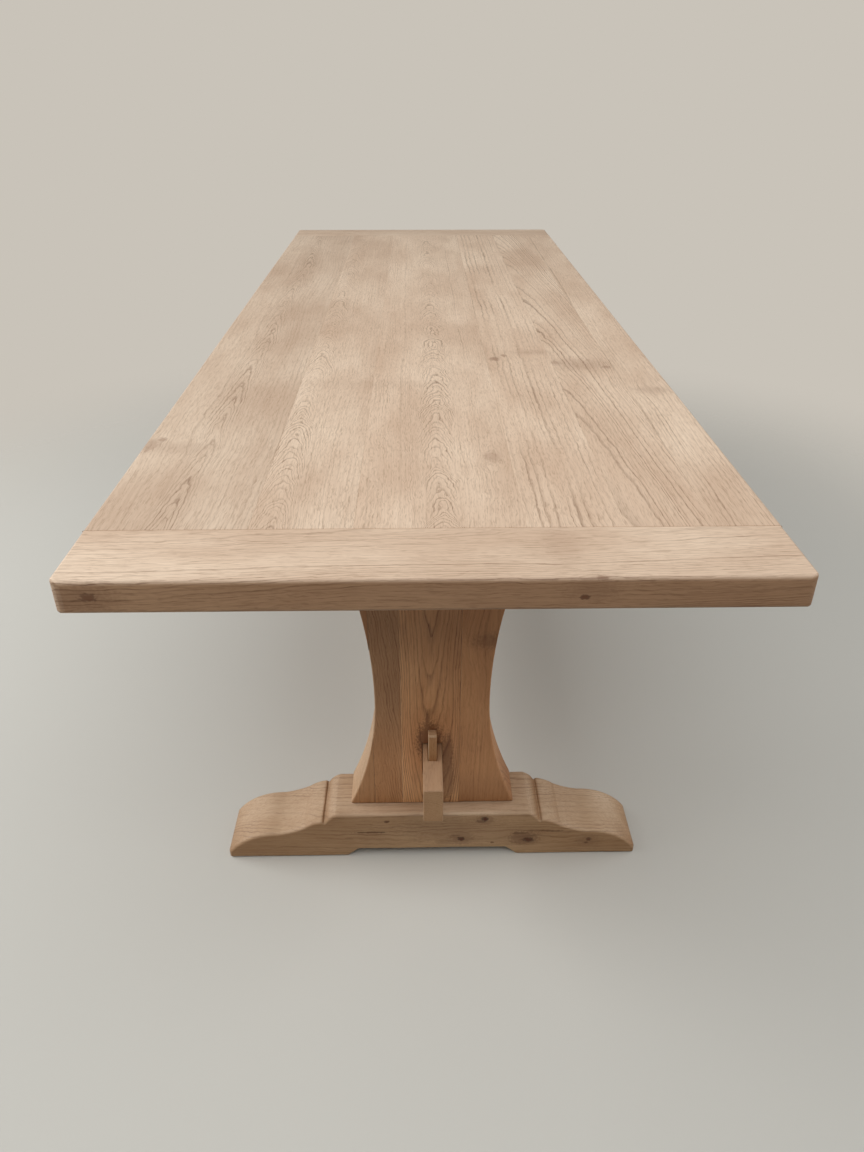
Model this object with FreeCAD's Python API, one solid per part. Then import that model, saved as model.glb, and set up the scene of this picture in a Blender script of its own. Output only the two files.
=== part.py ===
import FreeCAD, Part
import math
import os

# An oak trestle dining table: a planked top with breadboard ends, on two trestles tied together by a
# stretcher whose tenons pass through the pedestals and are locked by tusk wedges.
# Millimetres. X runs across the table, Y along it and Z up, with the origin on the floor under the middle
# of the top. The near end is at -Y. Near pieces are modelled, and far ones are their mirror images.

Vector = FreeCAD.Vector

# Top
table_height = 760.0
top_length = 2500.0
top_thickness = 45.0
edge_round = 5.0
plank_widths = (211.0, 135.0, 223.0, 129.0, 117.0, 85.0)  # from -X to +X
breadboard_depth = 128.0
tongue_length = 30.0
tongue_thickness = 15.0
tongue_inset = 25.0  # from the long edges of the top, so that the breadboards' ends stay whole
groove_play = 1.0  # beyond the tongues' ends and sides, for the wood to move

# Pegs that pin each plank's tongue, driven from below and stopped short of the upper face
breadboard_peg_diameter = 10.0
breadboard_peg_cover = 12.0  # wood left above the peg
peg_slot_play = 3.0  # each way along the tongue's slot
peg_clearance = 0.05

# Foot, a moulded sled: flat in the middle, then a bead, a quirk, a shoulder, a cove and a rounded nose
foot_inset = 265.0  # from the end of the top to the foot's outer face
foot_height = 106.0
plateau_margin = 24.0  # of flat foot beyond the pedestal's base, each side
bead_run, bead_rise, bead_bulge = 20.5, 16.0, 2.5
quirk_width, quirk_depth = 6.0, 4.5
shoulder_run, shoulder_rise, shoulder_bulge = 35.0, 15.0, 2.5
cove_run, cove_rise, cove_bulge = 48.0, 15.0, 2.0
nose_run, nose_bulge = 94.0, 13.0
toe_height = 15.0
relief_height = 17.0
relief_width = 272.0  # at its top
relief_slope_run = 20.0

# Pedestal: upright boards glued edge to edge and cut to a waisted outline, which leaves two flares of the
# outermost board on the left
pedestal_setback = 28.0  # behind the foot's outer face; the inner faces are flush
pedestal_thickness = 82.0
pedestal_base_width = 300.0
pedestal_top_width = 304.0
waist_width = 196.0
waist_above_foot = 240.0
flare_joint = -104.0  # places of the glue lines in X
left_board_joint = -54.0
right_board_joint = 48.0

# Stub tenons of the pedestal in the foot and the bearer, pinned from the inner side
stub_thickness = 32.0
stub_shoulder = 25.0  # in from the pedestal's edges
foot_stub_length = 50.0
bearer_stub_length = 35.0
stub_end_gap = 0.5
stub_peg_diameter = 12.0
stub_peg_spread = 150.0  # between the two pegs of a joint
stub_peg_bite = 18.0  # past the tenon, into the outer cheek

# Bearer under the top, with swept-up ends
bearer_length = 680.0
bearer_height = 60.0
bearer_end_height = 28.0
bearer_sweep = 110.0

# Screws up through the bearer, in slots that let the top move
screw_end_margin = 60.0  # from the bearer's ends to the outer screws
screw_pitch = 100.0
screws_per_side = 2
screw_clamp = 28.0  # thickness of bearer between the washer and the top
screw_bite = 26.0  # into the top
screw_diameter = 6.0
screw_tip = 6.0
screw_head_diameter = 13.0
screw_head_height = 4.0
screw_socket_width = 5.0  # across the flats
screw_socket_depth = 2.5
screw_slot_play = 5.0  # each way
screw_clearance = 0.4
washer_diameter = 20.0
washer_thickness = 2.0
counterbore_clearance = 1.0

# Stretcher and its through tenons
stretcher_thickness = 42.0
stretcher_height = 115.0
tenon_width = 33.0
tenon_height = 70.0
tenon_floor = 72.0  # from the top of the foot to the underside of the tenon
tenon_reach = 114.0  # beyond the pedestal's outer face
tenon_clearance = 0.3

# Tusk wedge, tapered on its outer face, its top sloped down to the pedestal
wedge_width = 14.0
wedge_depth = 41.0  # at the top of the tenon
wedge_taper = 1.0 / 8.0
wedge_above = 61.0
wedge_fall = 25.0  # of its top towards the pedestal
wedge_below = 28.0
wedge_ease = 4.0
wedge_clearance = 0.2
wedge_draw = 8.0  # how far the mortise runs back inside the pedestal

# Places worked out from those
top_width = sum(plank_widths)
top_underside = table_height - top_thickness
end_y = -top_length / 2
shoulder_y = end_y + breadboard_depth
foot_outer_y = end_y + foot_inset
pedestal_outer_y = foot_outer_y + pedestal_setback
trestle_inner_y = pedestal_outer_y + pedestal_thickness
stub_middle_y = pedestal_outer_y + pedestal_thickness / 2
bearer_underside = top_underside - bearer_height
tenon_bottom = foot_height + tenon_floor
tenon_top = tenon_bottom + tenon_height
tenon_end_y = pedestal_outer_y - tenon_reach
plank_edges = [sum(plank_widths[:count]) - top_width / 2 for count in range(len(plank_widths) + 1)]
waist_z = foot_height + waist_above_foot
outer_screw_x = bearer_length / 2 - screw_end_margin
screw_places = [
    side * (outer_screw_x - screw_pitch * step) for side in (-1, 1) for step in range(screws_per_side)
]
up = Vector(0, 0, 1)


def box(x_range, y_range, z_range):
    low = Vector(x_range[0], y_range[0], z_range[0])
    return Part.makeBox(x_range[1] - low.x, y_range[1] - low.y, z_range[1] - low.z, low)


def around(middle, width):
    return (middle - width / 2, middle + width / 2)


def slot(middle, width, length, height):
    """A vertical slot that starts at middle and rises, with round ends, its length along X."""
    straight = length - width
    shape = Part.makeCylinder(width / 2, height, middle - Vector(straight / 2, 0, 0), up)
    shape = shape.fuse(Part.makeCylinder(width / 2, height, middle + Vector(straight / 2, 0, 0), up))
    low = middle - Vector(straight / 2, width / 2, 0)
    return shape.fuse(Part.makeBox(straight, width, height, low)).removeSplitter()


def stretch(start, end, bulge):
    """One side of an outline: straight, or an arc that bows outwards by its bulge."""
    if bulge == 0:
        return Part.LineSegment(start, end).toShape()
    along = end - start
    outward = Vector(along.z, 0, -along.x).normalize()
    return Part.Arc(start, (start + end) * 0.5 + outward * bulge, end).toShape()


def prism(outline, y_range):
    """An outline of (x, z, bulge of the side that ends there), anticlockwise, pulled along Y."""
    corners = [Vector(x, y_range[0], z) for x, z, bulge in outline]
    sides = [
        stretch(corners[place - 1], corner, outline[place][2]) for place, corner in enumerate(corners)
    ]
    return Part.Face(Part.Wire(sides)).extrude(Vector(0, y_range[1] - y_range[0], 0))


def upright_prism(points, x_range):
    """A polygon of (y, z) points pulled along X."""
    corners = [Vector(x_range[0], y, z) for y, z in points]
    face = Part.Face(Part.makePolygon(corners + corners[:1]))
    return face.extrude(Vector(x_range[1] - x_range[0], 0, 0))


def both_sides(half):
    """Closes the right half of an outline, given from the bottom up, with its mirror image."""
    bulges = [bulge for x, z, bulge in half[1:]] + [0.0]
    mirrored = [(-x, z, bulge) for (x, z, own), bulge in zip(half, bulges)]
    return half + mirrored[::-1]


def flare(rise, spread):
    """Bulge of an inward arc that leaves a waist upright and spreads out over its rise."""
    radius = (rise**2 + spread**2) / (2 * spread)
    half_chord = math.hypot(rise, spread) / 2
    return math.sqrt(radius**2 - half_chord**2) - radius


def far(shape):
    return shape.mirror(Vector(0, 0, 0), Vector(0, 1, 0))


def breadboard_peg_spots():
    """Underside points of the near pegs, one in the middle of each plank's tongue."""
    y = shoulder_y - tongue_length / 2
    middles = [sum(tongue_span(number)) / 2 for number in range(len(plank_widths))]
    return [Vector(x, y, top_underside) for x in middles]


def tongue_span(number):
    limit = top_width / 2 - tongue_inset
    return (max(plank_edges[number], -limit), min(plank_edges[number + 1], limit))


def top_slab():
    """The whole top, its arrises and corners rounded, before it is divided into boards."""
    slab = box(around(0, top_width), around(0, top_length), (top_underside, table_height))
    return slab.makeFillet(edge_round, slab.Edges)


def screw_pilots():
    radius = screw_diameter / 2 + peg_clearance
    return [
        Part.makeCylinder(radius, screw_bite, Vector(x, stub_middle_y, top_underside), up)
        for x in screw_places
    ]


def plank(number, slab):
    x_range = plank_edges[number : number + 2]
    shape = slab.common(box(x_range, (shoulder_y, -shoulder_y), (0, table_height)))
    middle_z = table_height - top_thickness / 2
    reach = tongue_length - shoulder_y
    tongue = box(tongue_span(number), (-reach, reach), around(middle_z, tongue_thickness))
    spot = breadboard_peg_spots()[number]
    width = breadboard_peg_diameter + 2 * peg_clearance
    slotted = slot(spot, width, width + 2 * peg_slot_play, top_thickness)
    pilots = screw_pilots()
    shape = shape.fuse(tongue).cut([slotted, far(slotted)])
    return shape.cut(pilots + [far(pilot) for pilot in pilots]).removeSplitter()


def breadboard_end(slab):
    board = slab.common(box(around(0, top_width), (end_y, shoulder_y), (0, table_height)))
    groove_width = top_width - 2 * tongue_inset + 2 * groove_play
    groove = box(
        around(0, groove_width),
        (shoulder_y - tongue_length - groove_play, shoulder_y),
        around(table_height - top_thickness / 2, tongue_thickness),
    )
    radius = breadboard_peg_diameter / 2 + peg_clearance
    depth = top_thickness - breadboard_peg_cover
    holes = [Part.makeCylinder(radius, depth, spot, up) for spot in breadboard_peg_spots()]
    return board.cut([groove] + holes)


def breadboard_pegs():
    length = top_thickness - breadboard_peg_cover
    pegs = [
        Part.makeCylinder(breadboard_peg_diameter / 2, length, spot, up) for spot in breadboard_peg_spots()
    ]
    return Part.makeCompound(pegs)


def pedestal_outline():
    base, waist, head = (width / 2 for width in (pedestal_base_width, waist_width, pedestal_top_width))
    return both_sides(
        [
            (base, foot_height, 0.0),
            (waist, waist_z, flare(waist_above_foot, base - waist)),
            (head, bearer_underside, flare(bearer_underside - waist_z, head - waist)),
        ]
    )


def stub(end_width, z_range):
    return box(around(0, end_width - 2 * stub_shoulder), around(stub_middle_y, stub_thickness), z_range)


def stub_peg_spots(z):
    return [Vector(x, trestle_inner_y, z) for x in around(0, stub_peg_spread)]


def stub_pegs(z, radius):
    """Pegs through one stub tenon, from the trestle's inner face towards the outer one."""
    length = trestle_inner_y - stub_middle_y + stub_thickness / 2 + stub_peg_bite
    return [Part.makeCylinder(radius, length, spot, Vector(0, -1, 0)) for spot in stub_peg_spots(z)]


foot_peg_z = foot_height - foot_stub_length / 2
bearer_peg_z = bearer_underside + bearer_stub_length / 2


def stub_peg_holes():
    radius = stub_peg_diameter / 2 + peg_clearance
    return stub_pegs(foot_peg_z, radius) + stub_pegs(bearer_peg_z, radius)


def pedestal_board(x_range, z_range=(0, table_height)):
    """One upright board of the pedestal, or a length of it, with its share of the stub tenons."""
    body = prism(pedestal_outline(), (pedestal_outer_y, trestle_inner_y))
    body = body.fuse(stub(pedestal_base_width, (foot_height - foot_stub_length, foot_height)))
    body = body.fuse(stub(pedestal_top_width, (bearer_underside, bearer_underside + bearer_stub_length)))
    board = body.common(box(x_range, (pedestal_outer_y, trestle_inner_y), z_range))
    mortise = box(
        around(0, tenon_width + 2 * tenon_clearance),
        (pedestal_outer_y, trestle_inner_y),
        (tenon_bottom, tenon_top + tenon_clearance),
    )
    return board.cut([mortise] + stub_peg_holes()).removeSplitter()


def foot_outline():
    """The right half of the foot, from the relief under it out to the toe and back up to the plateau."""
    relief = relief_width / 2
    plateau = pedestal_base_width / 2 + plateau_margin
    bead = plateau + bead_run
    quirk = bead + quirk_width
    shoulder = quirk + shoulder_run
    cove = shoulder + cove_run
    toe = cove + nose_run
    bead_z = foot_height - bead_rise
    shoulder_z = bead_z - shoulder_rise
    cove_z = shoulder_z - cove_rise
    return both_sides(
        [
            (relief, relief_height, 0.0),
            (relief + relief_slope_run, 0.0, 0.0),
            (toe, 0.0, 0.0),
            (toe, toe_height, 0.0),
            (cove, cove_z, nose_bulge),
            (shoulder, shoulder_z, -cove_bulge),
            (quirk, bead_z, shoulder_bulge),
            (quirk - quirk_width / 2, bead_z - quirk_depth, 0.0),
            (bead, bead_z, 0.0),
            (plateau, foot_height, bead_bulge),
        ]
    )


def foot():
    shape = prism(foot_outline(), (foot_outer_y, trestle_inner_y))
    mortise = stub(pedestal_base_width, (foot_height - foot_stub_length - stub_end_gap, foot_height))
    return shape.cut([mortise] + stub_peg_holes())


def bearer():
    half = bearer_length / 2
    rise = bearer_height - bearer_end_height
    outline = both_sides(
        [
            (half - bearer_sweep, bearer_underside, 0.0),
            (half, top_underside - bearer_end_height, -flare(bearer_sweep, rise)),
            (half, top_underside, 0.0),
        ]
    )
    shape = prism(outline, (foot_outer_y, trestle_inner_y))
    mortise = stub(
        pedestal_top_width, (bearer_underside, bearer_underside + bearer_stub_length + stub_end_gap)
    )
    seat_z = top_underside - screw_clamp
    width = screw_diameter + 2 * screw_clearance
    bore_radius = washer_diameter / 2 + counterbore_clearance
    cuts = [mortise] + stub_peg_holes()
    for x in screw_places:
        cuts.append(slot(Vector(x, stub_middle_y, seat_z), width, width + 2 * screw_slot_play, screw_clamp))
        bore_foot = Vector(x, stub_middle_y, bearer_underside)
        cuts.append(Part.makeCylinder(bore_radius, seat_z - bearer_underside, bore_foot, up))
    return shape.cut(cuts)


def top_screws():
    """Socket-headed wood screws, each with its head under a washer."""
    seat_z = top_underside - screw_clamp - washer_thickness
    shank_length = washer_thickness + screw_clamp + screw_bite - screw_tip
    socket_radius = screw_socket_width / math.sqrt(3)
    screws = []
    for x in screw_places:
        seat = Vector(x, stub_middle_y, seat_z)
        head_foot = seat - up * screw_head_height
        head = Part.makeCylinder(screw_head_diameter / 2, screw_head_height, head_foot, up)
        shank = Part.makeCylinder(screw_diameter / 2, shank_length, seat, up)
        tip = Part.makeCone(screw_diameter / 2, 0, screw_tip, seat + up * shank_length, up)
        turns = [math.radians(60 * corner) for corner in range(6)]
        corners = [
            head_foot + Vector(math.cos(turn), math.sin(turn), 0) * socket_radius for turn in turns
        ]
        socket = Part.Face(Part.makePolygon(corners + corners[:1])).extrude(up * screw_socket_depth)
        screws.append(head.fuse([shank, tip]).cut(socket).removeSplitter())
    return Part.makeCompound(screws)


def top_washers():
    washers = []
    for x in screw_places:
        base = Vector(x, stub_middle_y, top_underside - screw_clamp - washer_thickness)
        disc = Part.makeCylinder(washer_diameter / 2, washer_thickness, base, up)
        hole = Part.makeCylinder(screw_diameter / 2 + screw_clearance, washer_thickness, base, up)
        washers.append(disc.cut(hole))
    return Part.makeCompound(washers)


def wedge_outer_y(z):
    return pedestal_outer_y - wedge_clearance - wedge_depth - (z - tenon_top) * wedge_taper


def tusk_wedge():
    inner = pedestal_outer_y - wedge_clearance
    low, high = tenon_bottom - wedge_below, tenon_top + wedge_above
    back = high - wedge_fall
    points = [
        (inner - wedge_ease, low),
        (inner, low + wedge_ease),
        (inner, back - wedge_ease),
        (inner - wedge_ease, back),
        (wedge_outer_y(high) + wedge_ease, high),
        (wedge_outer_y(high - wedge_ease), high - wedge_ease),
        (wedge_outer_y(low + wedge_ease), low + wedge_ease),
        (wedge_outer_y(low) + wedge_ease, low),
    ]
    return upright_prism(points, around(0, wedge_width))


def wedge_mortise():
    outer_low = wedge_outer_y(tenon_bottom) - wedge_clearance
    outer_high = wedge_outer_y(tenon_top) - wedge_clearance
    inner = pedestal_outer_y + wedge_draw
    points = [(outer_low, tenon_bottom), (inner, tenon_bottom), (inner, tenon_top), (outer_high, tenon_top)]
    return upright_prism(points, around(0, wedge_width + 2 * wedge_clearance))


def stretcher():
    middle_z = (tenon_bottom + tenon_top) / 2
    body = box(
        around(0, stretcher_thickness),
        (trestle_inner_y, -trestle_inner_y),
        around(middle_z, stretcher_height),
    )
    tenon = box(around(0, tenon_width), (tenon_end_y, -tenon_end_y), (tenon_bottom, tenon_top))
    mortise = wedge_mortise()
    return body.fuse(tenon).cut([mortise, far(mortise)]).removeSplitter()


pieces = {"stretcher": stretcher()}
slab = top_slab()
for number in range(len(plank_widths)):
    pieces[f"top_plank_{number + 1}"] = plank(number, slab)

board_limit = max(pedestal_base_width, pedestal_top_width) / 2
peg_radius = stub_peg_diameter / 2
near_pieces = {
    "breadboard_end": breadboard_end(slab),
    "breadboard_pegs": breadboard_pegs(),
    "bearer": bearer(),
    "bearer_pegs": Part.makeCompound(stub_pegs(bearer_peg_z, peg_radius)),
    "top_screws": top_screws(),
    "top_washers": top_washers(),
    "pedestal_lower_flare": pedestal_board((-board_limit, flare_joint), (0, waist_z)),
    "pedestal_upper_flare": pedestal_board((-board_limit, flare_joint), (waist_z, table_height)),
    "pedestal_left_board": pedestal_board((flare_joint, left_board_joint)),
    "pedestal_middle_board": pedestal_board((left_board_joint, right_board_joint)),
    "pedestal_right_board": pedestal_board((right_board_joint, board_limit)),
    "foot": foot(),
    "foot_pegs": Part.makeCompound(stub_pegs(foot_peg_z, peg_radius)),
    "tusk_wedge": tusk_wedge(),
}
for name, shape in near_pieces.items():
    pieces[f"near_{name}"] = shape
    pieces[f"far_{name}"] = far(shape)

os.makedirs("parts", exist_ok=True)
for name, shape in sorted(pieces.items()):
    shape.exportStep(os.path.join("parts", name + ".step"))
    print(name, len(shape.Solids), round(shape.Volume), shape.isValid())
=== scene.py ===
import math
from functools import partial

import bmesh
import bpy
from mathutils import Matrix, Vector, noise


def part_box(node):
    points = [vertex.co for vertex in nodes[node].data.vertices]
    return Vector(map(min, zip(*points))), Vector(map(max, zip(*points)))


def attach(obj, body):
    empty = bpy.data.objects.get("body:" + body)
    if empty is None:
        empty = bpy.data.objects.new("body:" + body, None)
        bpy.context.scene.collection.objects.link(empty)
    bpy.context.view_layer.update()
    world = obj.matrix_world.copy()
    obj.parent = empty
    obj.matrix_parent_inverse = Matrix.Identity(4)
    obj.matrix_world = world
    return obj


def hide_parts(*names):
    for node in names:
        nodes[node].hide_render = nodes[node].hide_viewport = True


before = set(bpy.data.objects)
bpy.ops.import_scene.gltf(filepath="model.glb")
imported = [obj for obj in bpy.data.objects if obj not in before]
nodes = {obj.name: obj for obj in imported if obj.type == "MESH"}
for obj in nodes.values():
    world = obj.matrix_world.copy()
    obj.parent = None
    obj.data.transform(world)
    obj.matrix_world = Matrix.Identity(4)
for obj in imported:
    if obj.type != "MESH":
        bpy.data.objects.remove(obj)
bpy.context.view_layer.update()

# Oak trestle dining table. The scene is in metres; sizes in the dictionaries are in
# millimetres, and a board's own coordinates run across, along and through its grain.

mm = 0.001
scene = bpy.context.scene
scene.view_settings.view_transform = "Standard"
ends = {"near": -1, "far": 1}
axes = {"x": Vector((1, 0, 0)), "y": Vector((0, 1, 0)), "z": Vector((0, 0, 1))}
closeBy = 0.005 * mm  # corners of a CAD piece nearer than this are one
onPlane = 0.05 * mm  # a point this near to a plane lies on it
sharpAngle = 40  # degrees between faces, past which an edge isn't shaded smooth
# kinds of node that come up often
vectorNode, noiseNode, groupNode = "ShaderNodeVectorMath", "ShaderNodeTexNoise", "ShaderNodeGroup"
rangeNode, mixNode, switchNode = "ShaderNodeMapRange", "ShaderNodeMix", "GeometryNodeSwitch"
splitNode, joinNode = "ShaderNodeSeparateXYZ", "ShaderNodeCombineXYZ"
print("frame:", len(nodes), "nodes")


def linear(hexColour):
    channels = [int(hexColour[i:i + 2], 16) / 255 for i in (1, 3, 5)]
    return (*(c / 12.92 if c <= 0.04045 else ((c + 0.055) / 1.055) ** 2.4 for c in channels), 1.0)


def addNode(tree, kind, inputs=(), **settings):
    # a kind in capitals is an operation of the math node; inputs go in order, or by name or number,
    # and the node's outputs come back
    if kind.isupper():
        kind, settings = "ShaderNodeMath", {"operation": kind}
    node = tree.nodes.new(kind)
    for name, value in settings.items():
        setattr(node, name, value)
    for key, value in inputs.items() if isinstance(inputs, dict) else enumerate(inputs):
        if isinstance(value, bpy.types.NodeSocket):
            tree.links.new(value, node.inputs[key])
        else:
            node.inputs[key].default_value = value
    return node.outputs


def newGroup(name, kind, inputs, outputs):
    tree = bpy.data.node_groups.new(name, kind)
    for way, sockets in (("INPUT", inputs), ("OUTPUT", outputs)):
        for label, socketType in sockets.items():
            tree.interface.new_socket(label, in_out=way, socket_type="NodeSocket" + socketType)
    return tree, addNode(tree, "NodeGroupInput"), tree.nodes.new("NodeGroupOutput").inputs


def newMaterial(name):
    material = bpy.data.materials.new(name)
    material.use_nodes = True
    material.node_tree.nodes.clear()
    return material, material.node_tree


def addObject(name, data):
    thing = bpy.data.objects.new(name, data)
    scene.collection.objects.link(thing)
    return thing


def meshFrom(work, name):
    mesh = bpy.data.meshes.new(name)
    work.to_mesh(mesh)
    work.free()
    return mesh


springYears = {  # the open-pored early wood of each year, which shows as a dark line
    "shift": 3.0, "pace": 0.21,  # years by which lines crowd and spread, and how soon that changes
    "comes": (0.88, 1.0), "goes": (0.03, 0.38),  # parts of a year
    "faintest": 0.15,  # strength of the weakest year's line
}


def springWoodGroup():
    # a count of years in, and a line at the start of each year out
    tree, into, out = newGroup("springWood", "ShaderNodeTree", {"Years": "Float", "Seed": "Float"},
                               {"Line": "Float"})
    add = partial(addNode, tree)
    slow = add("MULTIPLY_ADD", (into["Years"], springYears["pace"], into["Seed"]))[0]
    uneven = add(noiseNode, {"W": slow, "Scale": 1.0, "Detail": 1.0}, noise_dimensions="1D")[0]
    years = add("MULTIPLY_ADD", (uneven, springYears["shift"], into["Years"]))[0]
    part = add("FRACT", (years,))[0]
    after = add(rangeNode, (part, *springYears["goes"], 1.0, 0.0), interpolation_type="SMOOTHSTEP")[0]
    before = add(rangeNode, (part, *springYears["comes"], 0.0, 1.0),
                 interpolation_type="SMOOTHSTEP")[0]
    line = add("MAXIMUM", (after, before))[0]
    year = add("FLOOR", (years,))[0]
    year = add("ADD", (year, into["Seed"]))[0]
    strength = add("ShaderNodeTexWhiteNoise", {"W": year}, noise_dimensions="1D")[0]
    strength = add(rangeNode, {0: strength, 3: springYears["faintest"], 4: 1.0})[0]
    line = add("MULTIPLY", (line, strength))[0]
    tree.links.new(line, out["Line"])
    return tree


springWood = springWoodGroup()

figure = {  # sizes across and along the grain; each board's noise fields follow this order
    "wander": (130, 480),  # slow drift of the grain
    "ripple": (15, 30),  # small kinks in the lines
    "patch": (45, 190),  # where lines grow faint or strong
    "blotch": (140, 360),  # uneven take-up of oil
    "streak": (2.6, 150),  # darker and paler threads
    "dash": (1.4, 20),  # open pores, drawn coarser than their 0.3 mm so that they show
}
fieldStep = 17.3  # keeps the noise fields of one board apart
plankStep, pedestalStep = 3.1, 2.7  # the same for the seeds of neighbouring boards
contrast = {  # noise levels between which each effect rises
    "patch": (0.36, 0.64), "dash": (0.5, 0.66), "streak": (0.34, 0.66), "blotch": (0.36, 0.64),
}
faintLine, betweenPores = 0.15, 0.6  # share of a line left in faint patches, and between pores
flameShape = {
    "point": 1.7,  # power of its arches: 1 is a pointed roof, 2 a round one
    "pace": 120,  # length over which the arches crowd and spread
    "ragged": 14.0, "swell": 45.0,  # wander of its sides
    "edge": (-5.0, 6.0),  # strip where they fade
}


def oakFigureGroup():
    tree, into, out = newGroup(
        "oakFigure", "ShaderNodeTree",
        {"Board": "Vector", "Seed": "Float", "Pith": "Vector", "Ring": "Float", "Taper": "Float",
         "Wander": "Float", "Ripple": "Float", "Flame": "Float", "Flame Width": "Float",
         "Flame Pitch": "Float", "Flame Spread": "Float", "Flame Pace": "Float", "Flame Kink": "Float",
         "Plain Line": "Float"},
        {"Line": "Float", "Streak": "Float", "Dash": "Float", "Blotch": "Float"})
    add = partial(addNode, tree)

    def field(name, place):
        across, along = figure[name]
        step = fieldStep * list(figure).index(name)
        seed = add("ADD", (into["Seed"], step))[0]
        scaled = add(vectorNode, (place, (1 / across, 1 / along, 1 / across)), operation="MULTIPLY")[0]
        detail = 3.0 if name in ("streak", "blotch") else 1.5
        return add(noiseNode, {"Vector": scaled, "W": seed, "Scale": 1.0, "Detail": detail,
                               "Roughness": 0.55}, noise_dimensions="4D")

    def level(name, low=0.0, high=1.0):
        return add(rangeNode, (fields[name][0], *contrast[name], low, high))[0]

    fields = {name: field(name, into["Board"]) for name in ("wander", "ripple", "patch", "blotch")}
    drift = add(vectorNode, (fields["wander"]["Color"], (0.5, 0.5, 0.5)), operation="SUBTRACT")[0]
    drift = add(vectorNode, {0: drift, "Scale": into["Wander"]}, operation="SCALE")[0]
    board = add(vectorNode, (into["Board"], drift), operation="ADD")[0]
    kink = add("SUBTRACT", (fields["ripple"][0], 0.5))[0]
    sideways = add("MULTIPLY", (kink, into["Ripple"]))[0]
    sideways = add(joinNode, {0: sideways, 2: sideways})[0]
    threads = add(vectorNode, (board, sideways), operation="ADD")[0]
    fields.update({name: field(name, threads) for name in ("streak", "dash")})
    # growth rings: distance from the pith of a slowly tapering trunk
    offset = add(vectorNode, (board, into["Pith"]), operation="SUBTRACT")[0]
    place = add(splitNode, (offset,))
    flat = add(joinNode, {0: place[0], 2: place[2]})[0]
    radius = add(vectorNode, (flat,), operation="LENGTH")[1]
    radius = add("MULTIPLY_ADD", (place[1], into["Taper"], radius))[0]
    radius = add("MULTIPLY_ADD", (kink, into["Ripple"], radius))[0]
    years = add("DIVIDE", (radius, into["Ring"]))[0]
    ringLine = add(groupNode, {"Years": years, "Seed": into["Seed"]}, node_tree=springWood)[0]
    # flame: a narrow ladder of pointed arches where the saw just grazed the rings
    place = add(splitNode, (board,))
    beside = add("SUBTRACT", (place[0], into["Flame"]))[0]
    beside = add("ABSOLUTE", (beside,))[0]
    arch = add("DIVIDE", (beside, into["Flame Spread"]))[0]
    arch = add("POWER", (arch, flameShape["point"]))[0]
    pace = add("MULTIPLY_ADD", (place[1], 1 / flameShape["pace"], into["Seed"]))[0]
    pace = add(noiseNode, {"W": pace, "Scale": 1.0, "Detail": 1.5}, noise_dimensions="1D")[0]
    rung = add("MULTIPLY_ADD", (pace, into["Flame Pace"], place[1]))[0]
    rung = add("DIVIDE", (rung, into["Flame Pitch"]))[0]
    years = add("ADD", (rung, arch))[0]
    years = add("MULTIPLY_ADD", (kink, into["Flame Kink"], years))[0]
    flameLine = add(groupNode, {"Years": years, "Seed": into["Seed"]}, node_tree=springWood)[0]
    rim = add("MULTIPLY_ADD", (kink, flameShape["ragged"], beside))[0]
    swell = add("SUBTRACT", (pace, 0.5))[0]
    rim = add("MULTIPLY_ADD", (swell, flameShape["swell"], rim))[0]
    rim = add("SUBTRACT", (rim, into["Flame Width"]))[0]
    inside = add(rangeNode, (rim, *flameShape["edge"], 1.0, 0.0), interpolation_type="SMOOTHSTEP")[0]
    line = add(mixNode, {0: inside, 2: ringLine, 3: flameLine})[0]
    patch = level("patch", faintLine, into["Plain Line"])
    patch = add("MAXIMUM", (patch, inside))[0]
    dash = level("dash")
    broken = add(rangeNode, {0: dash, 3: betweenPores, 4: 1.0})[0]
    for factor in (patch, broken):
        line = add("MULTIPLY", (line, factor))[0]
    marks = {"Line": line, "Streak": level("streak"), "Dash": dash, "Blotch": level("blotch")}
    for name, socket in marks.items():
        tree.links.new(socket, out[name])
    return tree


knotShape = {  # in radii of the knot, where nothing else is said
    "core": (1.0, 1.3), "halo": (3.0, 8.0),  # across and along, for its mark and for the grain it bends
    "grit": (3.4, 5), "ragged": 1.6,  # bites in its edge: millimetres across and along, and depth
    "solid": 0.4, "gone": 2.3, "crisper": -1.1,  # where it starts to fade and ends, nearer for a dark one
    "rim": 0.85, "rimWidth": 0.45, "rimDepth": 0.7, "barkPower": 3.0,  # ring of bark, which a smear lacks
    "pull": 0.9,  # share by which the grain swings aside
}


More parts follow.
